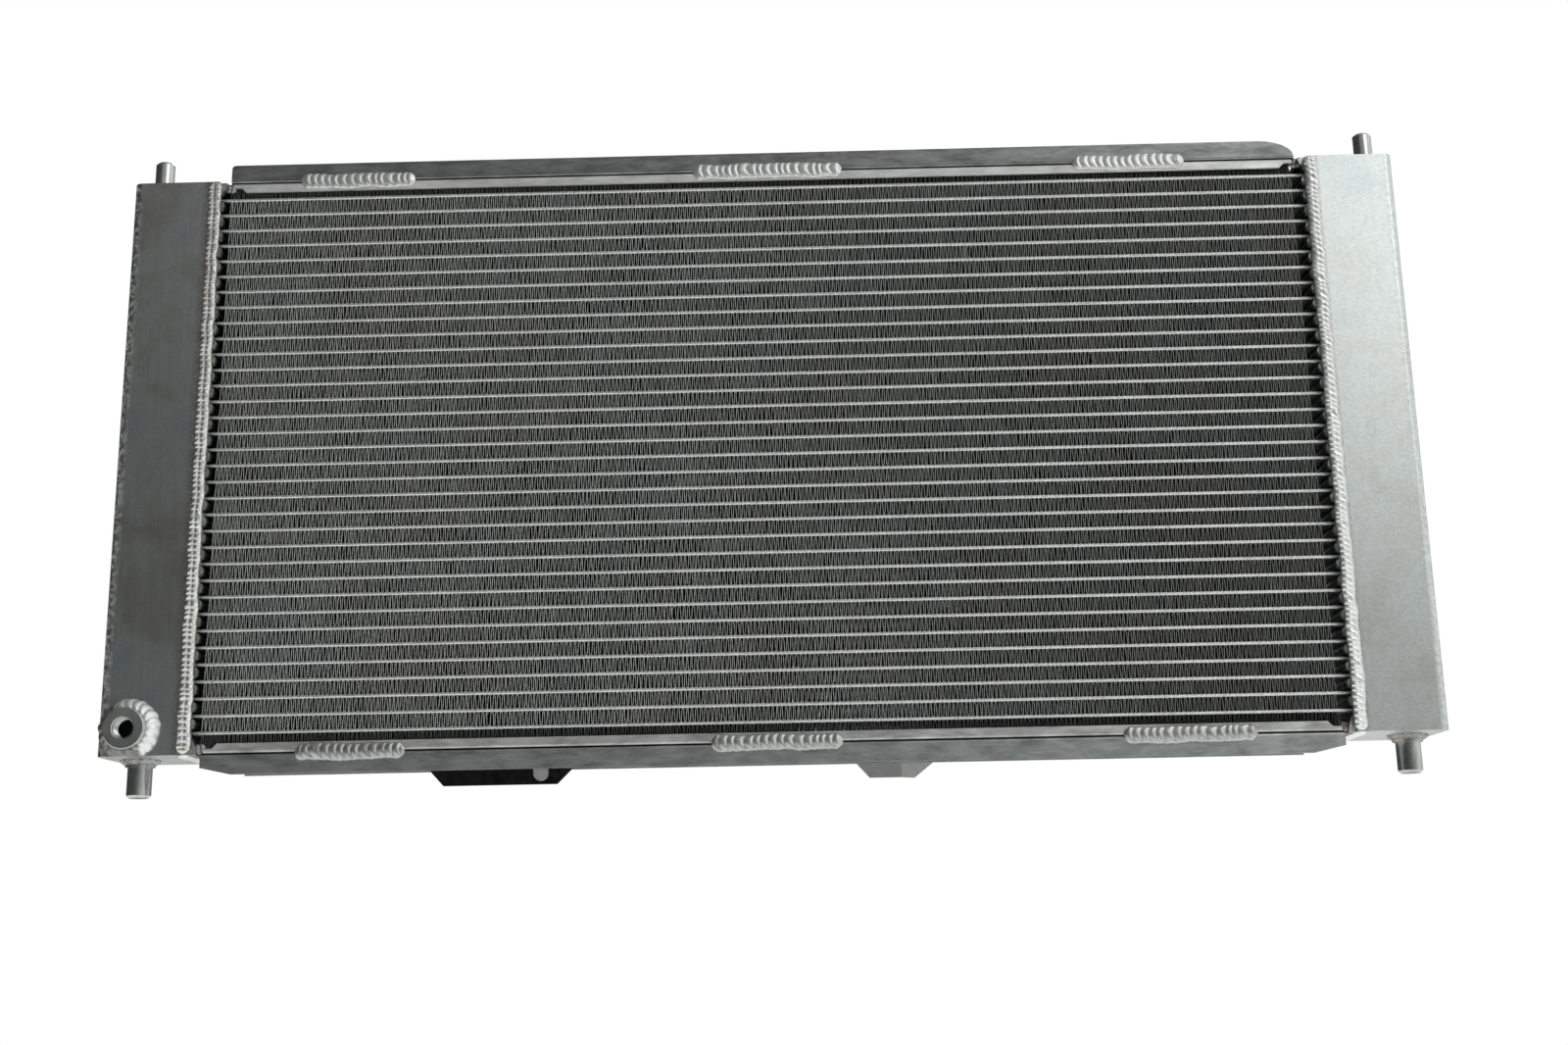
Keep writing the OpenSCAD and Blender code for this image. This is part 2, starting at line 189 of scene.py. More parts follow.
class Paint:
    """A procedural material around one Principled shader, in the object's own coordinates."""

    def __init__(self, name, base, metallic=1.0, roughness=0.4):
        self.material = bpy.data.materials.new(name)
        self.material.use_nodes = True
        tree = self.material.node_tree
        self.nodes, self.links = tree.nodes, tree.links
        self.shader = self.nodes["Principled BSDF"]
        self.shader.inputs["Base Color"].default_value = (*base, 1)
        self.shader.inputs["Metallic"].default_value = metallic
        self.shader.inputs["Roughness"].default_value = roughness
        self.coords = self.nodes.new("ShaderNodeTexCoord").outputs["Object"]
        self.last_normal = None

    def new(self, kind, **values):
        """A node of a kind, with its settings."""
        node = self.nodes.new(kind)
        for key, value in values.items():
            setattr(node, key, value)
        return node

    def scaled(self, size):
        """Coordinates divided by a feature size in metres, one number or one for each axis."""
        sizes = size if isinstance(size, tuple) else (size,) * 3
        node = self.new("ShaderNodeMapping")
        node.inputs["Scale"].default_value = [1 / s for s in sizes]
        self.links.new(self.coords, node.inputs["Vector"])
        return node.outputs["Vector"]

    def noise(self, size, detail=4.0, roughness=0.55, distortion=0.0):
        """Noise from 0 to 1 with features of a size in metres."""
        node = self.new("ShaderNodeTexNoise")
        node.inputs["Scale"].default_value = 1.0
        node.inputs["Detail"].default_value = detail
        node.inputs["Roughness"].default_value = roughness
        node.inputs["Distortion"].default_value = distortion
        self.links.new(self.scaled(size), node.inputs["Vector"])
        return node.outputs["Fac"]

    def axis(self, letter):
        """A point's own X, Y or Z in metres."""
        node = self.new("ShaderNodeSeparateXYZ")
        self.links.new(self.coords, node.inputs["Vector"])
        return node.outputs[letter]

    def distance(self, letter):
        """How far a point is from the object's middle along an axis."""
        return self.maths("ABSOLUTE", self.axis(letter), 0.0)

    def ramp(self, value, stops):
        """Turns a value into a grey or a colour by (value, colour) stops."""
        node = self.new("ShaderNodeValToRGB")
        elements = node.color_ramp.elements
        while len(elements) < len(stops):
            elements.new(0.5)
        for element, (place, colour) in zip(elements, stops):
            element.position = place
            grey = isinstance(colour, (int, float))
            element.color = (colour, colour, colour, 1) if grey else (*colour, 1)
        self.links.new(value, node.inputs["Fac"])
        return node.outputs["Color"]

    def span(self, value, lowest, highest):
        """Maps lowest..highest to 0..1, clamped."""
        node = self.new("ShaderNodeMapRange")
        node.inputs["From Min"].default_value = lowest
        node.inputs["From Max"].default_value = highest
        self.links.new(value, node.inputs["Value"])
        return node.outputs["Result"]

    def maths(self, operation, a, b):
        """One operation on two values, each a number or a socket."""
        node = self.new("ShaderNodeMath", operation=operation)
        for socket, value in zip(node.inputs, (a, b)):
            if isinstance(value, (int, float)):
                socket.default_value = value
            else:
                self.links.new(value, socket)
        return node.outputs["Value"]

    def mix(self, share, a, b, blend="MIX"):
        """Colour a changed towards b by a share."""
        node = self.new("ShaderNodeMix", data_type="RGBA", blend_type=blend)
        for key, value in ((0, share), (6, a), (7, b)):
            socket = node.inputs[key]
            if isinstance(value, tuple):
                socket.default_value = (*value, 1)
            elif isinstance(value, (int, float)):
                socket.default_value = value
            else:
                self.links.new(value, socket)
        return node.outputs[2]

    def tinted(self, a, b, share=1.0):
        """Colour a multiplied by b, as far as share says."""
        return self.mix(share, a, b, "MULTIPLY")

    def colour(self, value, stops=None):
        """Sets the base colour, through a ramp if stops are given."""
        value = self.ramp(value, stops) if stops else value
        self.links.new(value, self.shader.inputs["Base Color"])

    def rough(self, value, at_0, at_1):
        """Sets the roughness, which is at_0 where value is 0 and at_1 where it is 1."""
        node = self.new("ShaderNodeMapRange")
        node.inputs["To Min"].default_value = at_0
        node.inputs["To Max"].default_value = at_1
        self.links.new(value, node.inputs["Value"])
        self.links.new(node.outputs["Result"], self.shader.inputs["Roughness"])

    def bump(self, height, depth, strength=1.0):
        """Adds a bump of depth metres on top of the bumps so far."""
        node = self.new("ShaderNodeBump")
        node.inputs["Distance"].default_value = depth
        node.inputs["Strength"].default_value = strength
        self.links.new(height, node.inputs["Height"])
        if self.last_normal:
            self.links.new(self.last_normal, node.inputs["Normal"])
        self.last_normal = node.outputs["Normal"]
        self.links.new(self.last_normal, self.shader.inputs["Normal"])


def tube_paint():
    """Brazed tube: dull clad skin with a row of tiny braze lumps at the fin crests."""
    paint = Paint("core_tube", (0.62, 0.63, 0.62), roughness=0.36)
    lumps = paint.noise((0.0011, 0.004, 0.0011), 2, 0.6)
    patches = paint.noise(0.03, 3)
    shade = paint.ramp(lumps, [(0.3, (0.55, 0.56, 0.55)), (0.62, (0.90, 0.92, 0.91))])
    stain = paint.ramp(patches, [(0.35, (0.88, 0.88, 0.86)), (0.65, (1.0, 1.0, 1.0))])
    paint.colour(paint.tinted(shade, stain))
    paint.rough(lumps, 0.50, 0.28)
    paint.bump(lumps, 0.4 * MM, 0.7)
    return paint.material


def deep_inside(paint, face, reach):
    """1 at the front and rear faces of the core, falling to 0 at a depth of reach."""
    return paint.span(paint.distance("Y"), face - reach, face - 0.1 * MM)


def fin_paint(name, light):
    """Thin folded sheet, lit at the faces of the core and dark inside with painted shade.

    light is the lightness of the whole strip, lowered for the outer rows as painted shade under the
    lips. The faces are painted duller on the right half, and the inside darker on the left, as
    painted shade.
    """
    paint = Paint(name, (0.6, 0.61, 0.6), metallic=0.35, roughness=0.40)
    near = deep_inside(paint, high("fin_strips")[1], 0.8 * MM)
    across = paint.span(paint.axis("X"), low("fin_strips")[0], high("fin_strips")[0])
    patches = paint.noise(0.05, 4, 0.6)
    grain = paint.noise((0.0016, 0.003, 0.0016), 2)
    tints = [(0.35, (0.94, 0.92, 0.87)), (0.65, (0.97, 1.0, 0.98))]
    lit_metal = paint.ramp(patches, [(place, tuple(light * c for c in tint)) for place, tint in tints])
    speck = paint.ramp(grain, [(0.34, 0.55), (0.62, 1.0)])
    lit_metal = paint.tinted(lit_metal, speck)
    # painted shade: the faces are darker towards the right end
    lit_metal = paint.tinted(lit_metal, paint.ramp(across, [(0.45, 1.0), (0.95, 0.46)]))
    # painted shade deep inside the core, near black on the left and grey on the right
    inner_shade = paint.ramp(across, [(0.50, (0.028, 0.032, 0.029)), (0.90, (0.26, 0.27, 0.26))])
    inner_shade = paint.tinted(inner_shade, (light, light, light))
    paint.colour(paint.mix(paint.maths("POWER", near, 1.3), inner_shade, lit_metal))
    return paint.material


def header_paint():
    """Stamped header plate, frosted by the braze, and near black deep inside the core as painted
    shade.
    """
    paint = Paint("header_plate", (0.66, 0.67, 0.66), roughness=0.34)
    frost = paint.noise(0.0022, 4, 0.65)
    near = deep_inside(paint, high("left_header")[1] - 2.5 * MM, 5 * MM)
    skin = paint.ramp(frost, [(0.3, (0.34, 0.34, 0.33)), (0.6, (0.62, 0.63, 0.62))])
    # painted shade: near black deep inside the core, lighter towards its faces
    paint.colour(paint.mix(near, (0.04, 0.042, 0.04), skin))
    paint.rough(frost, 0.48, 0.28)
    paint.bump(frost, 0.5 * MM, 0.5)
    return paint.material


def heat_band(paint, width):
    """Specks beside the weld of a header, thinning out over width."""
    edge = header_seam_x(1) + 2.8 * MM
    near = paint.span(paint.distance("X"), edge + width, edge)
    specks = paint.ramp(paint.noise(0.0015, 3, 0.7), [(0.40, 0.0), (0.56, 1.0)])
    return paint.maths("MULTIPLY", near, specks)


def tank_paint(name, dark, light, stain_share, brush_share, heat):
    """Brushed tank sheet with stains, fine scratches and a scuffed outer edge.

    brush_share is how much of its grain is long brush marks. heat is the width and the
    colour of the band that the header's weld has browned.
    """
    paint = Paint(name, light, roughness=0.36)
    brushed = paint.noise((0.0012, 0.0012, 0.05), 5, 0.6)
    grain = paint.noise((0.0016, 0.0016, 0.0012), 3, 0.6)
    cloud = paint.noise(0.05, 5, 0.6, 0.6)
    skin = paint.maths("ADD", paint.maths("MULTIPLY", brushed, brush_share),
                       paint.maths("MULTIPLY", grain, 1 - brush_share))
    base = paint.ramp(skin, [(0.35, dark), (0.62, light)])
    stains = paint.ramp(cloud, [(0.33, (0.74, 0.69, 0.63)), (0.52, (1, 1, 1)),
                                (0.7, (0.80, 0.87, 0.92))])
    stained = paint.tinted(base, stains, stain_share)
    stained = paint.mix(heat_band(paint, heat[0]), stained, heat[1])
    specks = paint.ramp(paint.noise(0.004, 2, 0.7), [(0.68, 0.0), (0.74, 0.5)])
    patchy = paint.ramp(paint.noise(0.003, 4, 0.7), [(0.45, 0.0), (0.6, 1.0)])
    scuffs = paint.maths("MULTIPLY", tank_outer_edge(paint), patchy)
    marks = paint.maths("MAXIMUM", scuffs, paint.maths("MULTIPLY", specks, 0.35))
    paint.colour(paint.mix(marks, stained, (0.88, 0.88, 0.87)))
    paint.links.new(paint.maths("SUBTRACT", 1.0, paint.maths("MULTIPLY", marks, 0.8)),
                    paint.shader.inputs["Metallic"])
    paint.rough(cloud, 0.28, 0.38)
    paint.bump(brushed, 0.08 * MM, 0.3)
    paint.bump(grain, 0.08 * MM, 0.3)
    paint.bump(scuffs, 0.3 * MM, 0.4)
    return paint.material


def tank_outer_edge(paint):
    """1 at the outer upright corners of a tank, falling to 0 some millimetres away."""
    outer, face = high("right_tank")[:2]
    return paint.maths("MINIMUM", paint.span(paint.distance("X"), outer - 7 * MM, outer - MM),
                       paint.span(paint.distance("Y"), face - 5 * MM, face - 0.5 * MM))


def seam_dark_line(paint):
    """1 in the grooves where a rail and its side plate meet, falling to 0 close by."""
    seams = [high("top_side_plate")[2], low("bottom_side_plate")[2]]
    gaps = [paint.maths("ABSOLUTE", paint.maths("SUBTRACT", paint.axis("Z"), z), 0.0) for z in seams]
    return paint.ramp(paint.maths("DIVIDE", paint.maths("MINIMUM", *gaps), 2 * MM),
                      [(0.17, 1.0), (0.32, 0.0)])


def sheet_paint(name, light, tint, right_end_highlight, metallic):
    """Folded mill-finish sheet with mottled scratches along it and a near-black line along its seam.

    light is its lightness on the left, and the right end is painted lighter by a factor, as a
    painted reflection.
    """
    def shade(share):
        return tuple(min(0.95, light * right_end_highlight * share) * c for c in tint)

    paint = Paint(name, shade(1.0), metallic=metallic, roughness=0.38)
    across = paint.span(paint.axis("X"), low("top_rail")[0], high("top_rail")[0])
    scratches = paint.noise((0.012, 0.0009, 0.0009), 5, 0.65)
    mottle = paint.noise((0.02, 0.006, 0.006), 5, 0.65, 0.4)
    base = paint.ramp(mottle, [(0.32, shade(0.58)), (0.68, shade(1.30))])
    scraped = paint.ramp(scratches, [(0.55, 0.0), (0.74, 0.6)])
    wear_and_highlight = paint.mix(scraped, base, shade(1.7))
    # painted reflection: the sheet gets lighter towards its right end
    wear_and_highlight = paint.tinted(wear_and_highlight, paint.ramp(across, [(0.45, 1 / right_end_highlight), (0.95, 1.0)]))
    # near black along the seams where a rail and its side plate meet
    paint.colour(paint.mix(seam_dark_line(paint), wear_and_highlight, (0.012, 0.012, 0.011)))
    paint.rough(mottle, 0.46, 0.30)
    paint.bump(scratches, 0.15 * MM, 0.4)
    return paint.material


def fitting_paint(name, marks_size, depth, roughness):
    """Turned aluminium with fine machining marks of a depth in metres."""
    paint = Paint(name, (0.60, 0.61, 0.60), roughness=roughness)
    marks = paint.noise(marks_size, 3, 0.6)
    paint.colour(marks, [(0.3, (0.45, 0.46, 0.45)), (0.7, (0.62, 0.63, 0.62))])
    paint.rough(marks, 0.8 * roughness, 1.3 * roughness)
    paint.bump(marks, depth, 0.4)
    return paint.material


def weld_paint(name, light, brown_share, metallic=1.0, roughness=0.44):
    """Weld metal of a lightness, frosted, and browned in patches by a share."""
    paint = Paint(name, (light, light, light), metallic=metallic, roughness=roughness)
    skin = paint.noise(0.0009, 4, 0.65)
    heat = paint.noise(0.005, 3, 0.6)
    base = paint.ramp(skin, [(0.3, (0.72 * light,) * 3), (0.6, (light, 1.02 * light, 1.01 * light))])
    brown = paint.ramp(heat, [(0.36, (0.62, 0.53, 0.46)), (0.60, (1, 1, 1))])
    paint.colour(paint.tinted(base, brown, brown_share))
    paint.rough(skin, roughness, 0.6 * roughness)
    paint.bump(skin, 0.25 * MM, 0.5)
    return paint.material


def boss_weld_paint(centre):
    """The boss's fillet: bright at the upper right of centre, toward the light, and dark brown on
    its other sides, which is heat tint and painted shade.
    """
    paint = Paint("boss_weld", (0.9, 0.9, 0.9), metallic=0.7, roughness=0.36)
    skin = paint.noise(0.0009, 4, 0.65)
    patches = paint.noise(0.004, 3, 0.6)
    right = paint.maths("SUBTRACT", paint.axis("X"), centre[0])
    up = paint.maths("SUBTRACT", paint.axis("Z"), centre[2])
    toward = paint.maths("ADD", paint.maths("MULTIPLY", right, 0.85),
                         paint.maths("MULTIPLY", up, 0.5))
    lean = paint.maths("ADD", paint.span(toward, -16 * MM, 16 * MM),
                       paint.maths("MULTIPLY", patches, 0.3))
    lit_metal = paint.ramp(skin, [(0.3, (0.78, 0.79, 0.79)), (0.6, (0.97, 0.98, 0.98))])
    scorched_and_shaded = paint.ramp(patches, [(0.35, (0.17, 0.155, 0.14)), (0.65, (0.36, 0.35, 0.33))])
    # painted light: bright on the side toward the upper-right light, darker with painted shade
    # elsewhere
    paint.colour(paint.mix(paint.ramp(lean, [(0.60, 0.0), (0.72, 1.0)]), scorched_and_shaded, lit_metal))
    paint.rough(skin, 0.46, 0.28)
    paint.bump(skin, 0.3 * MM, 0.6)
    return paint.material


def bracket_paint(name, dark, light, roughness):
    """Bracket sheet, cloudy between two colours."""
    paint = Paint(name, light, roughness=roughness)
    paint.colour(paint.noise(0.005, 4, 0.6), [(0.3, dark), (0.7, light)])
    paint.bump(paint.noise(0.0008, 2), 0.1 * MM, 0.3)
    return paint.material


# ---------------------------------------------------------------- mesh helpers

def new_piece(name, points, quads, material, replaced, smooth=True, ends=()):
    """A piece of quads and end faces that stands in for a CAD node, riding on the one body."""
    mesh = bpy.data.meshes.new(name)
    faces = [tuple(face) for face in quads] + [tuple(face) for face in ends]
    mesh.from_pydata([tuple(point) for point in points], [], faces)
    mesh.update()
    if smooth:
        mesh.polygons.foreach_set("use_smooth", [True] * len(mesh.polygons))
    mesh.materials.append(material)
    piece = bpy.data.objects.new(name, mesh)
    bpy.context.scene.collection.objects.link(piece)
    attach(piece, ROOT)
    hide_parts(replaced)


def across_axis(axis):
    """Two unit vectors at right angles to an axis and to each other."""
    first = axis.orthogonal().normalized()
    return first, axis.cross(first)


def end_faces(rings, around):
    """The first and the last ring as faces, wound to match the quads of ring_quads."""
    last = around * (rings - 1)
    return [tuple(range(around - 1, -1, -1)), tuple(last + k for k in range(around))]


def ring_quads(rings, around, closed_along=False):
    """Quads between rings of points, each ring a closed loop of around points."""
    last = rings if closed_along else rings - 1
    i, j = np.meshgrid(np.arange(last), np.arange(around), indexing="ij")
    a = i * around + j
    b = i * around + (j + 1) % around
    c = ((i + 1) % rings) * around + (j + 1) % around
    d = ((i + 1) % rings) * around + j
    return np.stack([a, b, c, d], -1).reshape(-1, 4)


# ---------------------------------------------------------------- fins

LEG = 1.25 * MM      # distance between neighbouring legs of a fin
SHEET = 0.16 * MM    # thickness of the fin sheet
BURR = 0.22 * MM     # thickness of its sheared edges at the faces of the core
LOUVRE = 1.2 * MM    # how far the middle of a strip is pushed aside, which hides what is behind
LEG_STOPS = (0.25, 0.40, 0.60, 0.75)  # where a leg's points lie between two crests
LEG_RISE = (-1.0, -0.70, 0.70, 1.0)   # and how high they are
PITCH_DRIFT, PITCH_JITTER = 0.10, 0.07              # shares by which the legs' spacing varies
BOW_JITTER, BOW_DRIFT, LEAN = 0.24 * MM, 0.18 * MM, 0.12 * MM  # how far legs stray sideways


def fin_centre_line(rng, x0, x1):
    """X, a height from -1 to 1 and a sideways bend along the front edge of a folded strip."""
    legs = int((x1 - x0) / LEG)
    pitch = (1 + PITCH_DRIFT * smooth_noise(rng, legs, 9)
             + PITCH_JITTER * rng.uniform(-1, 1, legs))
    starts = np.concatenate([[0], np.cumsum(pitch)])
    starts = x0 + SHEET + (starts / starts[-1]) * (x1 - x0 - 2 * SHEET)
    x = (starts[:-1, None] + np.array(LEG_STOPS) * np.diff(starts)[:, None]).ravel()
    up = np.where(np.arange(legs) % 2 == 0, 1.0, -1.0)
    height = (up[:, None] * np.array(LEG_RISE)).ravel()
    bow = BOW_JITTER * rng.uniform(-1, 1, legs) + BOW_DRIFT * smooth_noise(rng, legs, 5)
    bend = np.zeros((legs, len(LEG_STOPS)))
    bend[:, 1] = bow
    bend[:, 2] = bow + LEAN * rng.uniform(-1, 1, legs)
    for _ in range(rng.integers(0, 3)):
        add_dent(rng, bend)
    return x, height, bend.ravel()


def add_dent(rng, bend):
    """Presses a few neighbouring legs to one side, as a knock on the face of the core does."""
    width = int(rng.integers(2, 6))
    start = int(rng.integers(4, len(bend) - width - 4))
    push = rng.choice((-1, 1)) * rng.uniform(0.5, 0.9) * MM
    shape = np.sin(np.linspace(0.3, math.pi - 0.3, width))
    bend[start:start + width, 1:3] += (push * shape)[:, None]


def fin_strip(index, bottom, top, rng, material):
    """One folded strip between two heights: a closed, thin, corrugated solid."""
    (x0, y0), (x1, y1) = low("fin_strips")[:2], high("fin_strips")[:2]
    x, height, bend = fin_centre_line(rng, x0 + BURR, x1 - BURR)
    z = (bottom + top) / 2 + height * ((top - bottom) / 2 - BURR / 2)
    # depth of each plane, the share of the bend that reaches it, its push and its thickness
    planes = ((y0, 1.0, 0, BURR), ((y0 + y1) / 2, 0.6, LOUVRE, SHEET), (y1, 0.35, 0, BURR))
    sides = ([], [])
    for y, share, push, thick in planes:
        line = np.stack([np.clip(x + bend * share + push, x0 + BURR, x1 - BURR), z], 1)
        along = np.gradient(line, axis=0)
        along /= np.linalg.norm(along, axis=1, keepdims=True)
        step = np.stack([-along[:, 1], along[:, 0]], 1) * thick / 2
        for side, offset in zip(sides, (step, -step)):
            edge = line + offset
            edge[:, 1] = np.clip(edge[:, 1], bottom, top)
            side.append(np.stack([edge[:, 0], np.full(len(x), y), edge[:, 1]], 1))
    # each ring goes round the sheet: down one side from front to rear and back up the other
    left, right = sides
    rings = np.stack(left[:1] + right + left[:0:-1], 1)
    count, around = rings.shape[:2]
    new_piece(f"fin_strip_{index:02d}", rings.reshape(-1, 3), ring_quads(count, around), material,
              "fin_strips", smooth=False, ends=end_faces(count, around))


def add_fins():
    """A strip between each two tubes and one outside each outer tube, which is darker with painted
    shade from the lips.
    """
    # the outer rows get a darker copy of the fin paint: painted shade under the lips
    inner, outer = fin_paint("fin_sheet", 1.0), fin_paint("fin_sheet_outer_rows_shaded", 0.28)
    bottoms = [low("fin_strips")[2]] + [high(tube)[2] for tube in TUBES]
    tops = [low(tube)[2] for tube in TUBES] + [high("fin_strips")[2]]
    for index, (bottom, top) in enumerate(zip(bottoms, tops)):
        rng = np.random.default_rng(100 + index)
        fin_strip(index + 1, bottom, top, rng, inner if 0 < index < len(TUBES) else outer)


# ---------------------------------------------------------------- welds

RIPPLE_STEPS = 9     # rings of points to each ripple
BEAD_STEPS = 16      # points across a bead
FILLET_STEPS = 9     # points across a fillet
SUNK = 0.3 * MM      # how far a weld goes into the metal under it


def ripple(phase):
    """Height from 0 to 1 of a ripple: it swells slowly and ends in a sharp step."""
    share = phase % 1.0
    return math.sin(math.pi * share ** 1.5) ** 0.7


def weld_bead(name, path, out, side, width, height, pitch, rng, material, replaced,
              slant=0.0, arc=0.6, groove=0.0, relief=0.34):
    """A bead of overlapping round ripples along a straight path.

    path is its start and end, out points away from the sheet and side lies across it.
    slant and arc, in ripples, say how a ripple runs across the bead. groove is how deep its
    middle dips and relief how deep a ripple is, as shares of its height.
    """
    start, end = Vector(path[0]), Vector(path[1])
    length = (end - start).length
    along = (end - start).normalized()
    out, side = Vector(out), Vector(side)
    rows = max(int(length / pitch * RIPPLE_STEPS), 12)
    size = 1 + 0.10 * smooth_noise(rng, rows + 1, 12)
    drift = 0.05 * width * smooth_noise(rng, rows + 1, 20)
    warp = 0.35 * smooth_noise(rng, rows + 1, 14)
    swell = 1 + 0.12 * smooth_noise(rng, rows + 1, 6)
    points = []
    for row in range(rows + 1):
        share = row / rows
        near_end = min(share, 1 - share) * length / (0.35 * width)
        taper = min(1.0, math.sqrt(near_end) + 0.02)
        half = width / 2 * size[row] * taper
        place = start + along * (share * length)
        for step in range(BEAD_STEPS + 1):
            s = -1 + 2 * step / BEAD_STEPS
            bow = arc * (1 - math.sqrt(1 - 0.96 * s * s))
            lobe = ripple(share * length / pitch + warp[row] + bow + slant * s)
            crown = math.sqrt(max(0.0, 1 - s * s)) * (1 - groove * math.exp(-(s / 0.22) ** 2))
            rise = height * taper * crown * (1 - relief + relief * lobe) * min(1.0, swell[row])
            reach = half * s * (0.92 + 0.08 * lobe) + drift[row]
            points.append(place + side * reach + out * rise)
        for s in (1, -1):
            points.append(place + side * (half * s * 0.9 + drift[row]) - out * SUNK)
    around = BEAD_STEPS + 3
    new_piece(name, points, ring_quads(rows + 1, around), material, replaced,
              ends=end_faces(rows + 1, around))


CAD_BEAD = 8 * MM      # width of the plain header beads in the CAD
# for the sign of each side: slant, groove and relief of its header beads
HEADER_BEADS = {-1: (0.1, 0.34, 0.40), 1: (0.55, 0.12, 0.34)}


def header_seam_x(s):
    """Middle of a header's weld seam, on the side with sign s."""
    if s > 0:
        return high("header_welds")[0] - CAD_BEAD / 2
    return low("header_welds")[0] + CAD_BEAD / 2


def add_header_welds(materials):
    """Beads all round both headers, with a material for each side's word."""
    (y0, z0), (y1, z1) = low("right_tank")[1:], high("right_tank")[1:]
    lift = high("header_welds")[1] - y1
    rng = np.random.default_rng(7)
    for word, s in SIDES:
        x = header_seam_x(s)
        inner = x - s * MM
        slant, groove, relief = HEADER_BEADS[s]
        for face, y, out in (("front", y0, -1), ("rear", y1, 1)):
            ends = ((inner, y, z0 + 0.5 * MM), (inner, y, z1 - 0.5 * MM))
            weld_bead(f"{word}_header_weld_{face}", ends, (0, out, 0), (1, 0, 0), 8.2 * MM, lift,
                      3.4 * MM, rng, materials[word], "header_welds", slant=-slant * out,
                      arc=0.5, groove=groove, relief=relief)
        for face, z, out in (("bottom", z0, -1), ("top", z1, 1)):
            weld_bead(f"{word}_header_weld_{face}", ((x, y0 + MM, z), (x, y1 - MM, z)),
                      (0, 0, out), (1, 0, 0), 7.4 * MM, lift * 0.8, 4.3 * MM, rng, materials[word],
                      "header_welds")


# start and end of each stitch along a rail, in millimetres
UPPER_STITCHES = ((-285, -214), (-42, 50), (192, 261))
LOWER_STITCHES = ((-274, -210), (-34, 42), (202, 279))


def add_rail_welds(materials):
    """Stitches along the seams of both rails, with materials for the upper and the lower ones."""
    front, rear = low("top_side_plate")[1], high("top_side_plate")[1]
    seams = (("upper", UPPER_STITCHES, high("top_side_plate")[2]),
             ("lower", LOWER_STITCHES, low("bottom_side_plate")[2]))
    rng = np.random.default_rng(21)
    lift = front - low("rail_welds")[1]
    for word, stitches, z in seams:
        for number, (x0, x1) in enumerate(stitches):
            for face, y, out in (("front", front, -1), ("rear", rear, 1)):
                weld_bead(f"{word}_rail_weld_{face}_{number + 1}",
                          ((x0 * MM, y, z), (x1 * MM, y, z)), (0, out, 0), (0, 0, 1),
                          10.4 * MM, lift, 4.7 * MM, rng, materials[word], "rail_welds",
                          slant=0.25, arc=-1.0, relief=0.32)


def add_corner_tacks(material):
    """Short beads that tack the ends of the side plates to the header plates."""
    rng = np.random.default_rng(51)
    inset = 3.2 * MM
    x0 = high("top_side_plate")[0] - 1.5 * MM
    x1 = low("right_header")[0] + 5 * MM
    seams = (("top", high("top_side_plate")[2] - inset, 0.5 * MM),
             ("bottom", low("bottom_side_plate")[2] + inset, -0.5 * MM))
    for edge, z, rise in seams:
        for word, s in SIDES:
            for face, out in (("front", -1), ("rear", 1)):
                y = out * (high("fin_strips")[1] + 0.4 * MM)
                ends = ((s * x0, y, z), (s * x1, y, z + rise))
                weld_bead(f"{word}_corner_tack_{edge}_{face}", ends, (0, out, 0), (0, 0, 1),
                          6.4 * MM, 2.0 * MM, 3.2 * MM, rng, material, "header_welds", arc=-0.6)


def ring_weld(name, centre, axis, inner, leg, count, rng, material, limit, relief=0.20):
    """A fillet weld around a round fitting, with count ripples, cut off at a box.

    inner is the fitting's radius and leg the size of the fillet along it and away from it.
    """
    axis = Vector(axis)
    first, second = across_axis(axis)
    steps = count * RIPPLE_STEPS
    size = 1 + 0.10 * smooth_noise(rng, steps, 7)
    size = size + (size[0] - size[-1]) * np.linspace(0, 1, steps)
    points = []
    for step in range(steps):
        turn = 2 * math.pi * step / steps
        outward = first * math.cos(turn) + second * math.sin(turn)
        for k in range(FILLET_STEPS + 1):
            s = k / FILLET_STEPS
            lobe = abs(math.sin(math.pi * (count * step / steps + 2.0 * (s - 0.5) ** 2)))
            arc = math.pi / 2 * s
            swell = 1 - relief + relief * lobe
            radius = inner + leg * size[step] * math.sin(arc) ** 1.3 * swell
            lift = leg * 0.95 * math.cos(arc) ** 1.3 * swell
            points.append(Vector(centre) + outward * radius + axis * lift)
        points.append(Vector(centre) + outward * (inner + leg * 0.8) - axis * SUNK)
        points.append(Vector(centre) + outward * (inner - SUNK) - axis * SUNK)
        points.append(Vector(centre) + outward * (inner - SUNK) + axis * leg * 0.8)
    points = np.clip(np.array(points), limit[0], limit[1])
    new_piece(name, points, ring_quads(steps, FILLET_STEPS + 4, closed_along=True), material,
              "fitting_welds")


def add_fitting_welds(material, stained):
    """Fillets around the pins, the hose necks and the boss, kept within the tanks' outlines."""
    rng = np.random.default_rng(33)
    edge = high("right_tank")[0] - 0.6 * MM
    limit = ((-edge, -1, -1), (edge, 1, 1))
    for node, up in PINS:
        centre, radius, _ = round_node(node, (0, 0, up))
        ring_weld(f"{node}_weld", centre, (0, 0, up), radius, 3.2 * MM, 14, rng, stained, limit)
    for node in NECKS:
        centre, radius, _ = round_node(node, REARWARD)
        ring_weld(f"{node}_weld", centre, REARWARD, radius, 3.4 * MM, 26, rng, material, limit)
    centre, radius, _ = round_node("sensor_boss", FORWARD)
    limit = ((-edge, -1, low("left_tank")[2] + 0.2 * MM), (edge, 1, 1))
    ring_weld("sensor_boss_weld", centre, FORWARD, radius, 6.2 * MM, 20, rng,
              boss_weld_paint(centre), limit, relief=0.12)


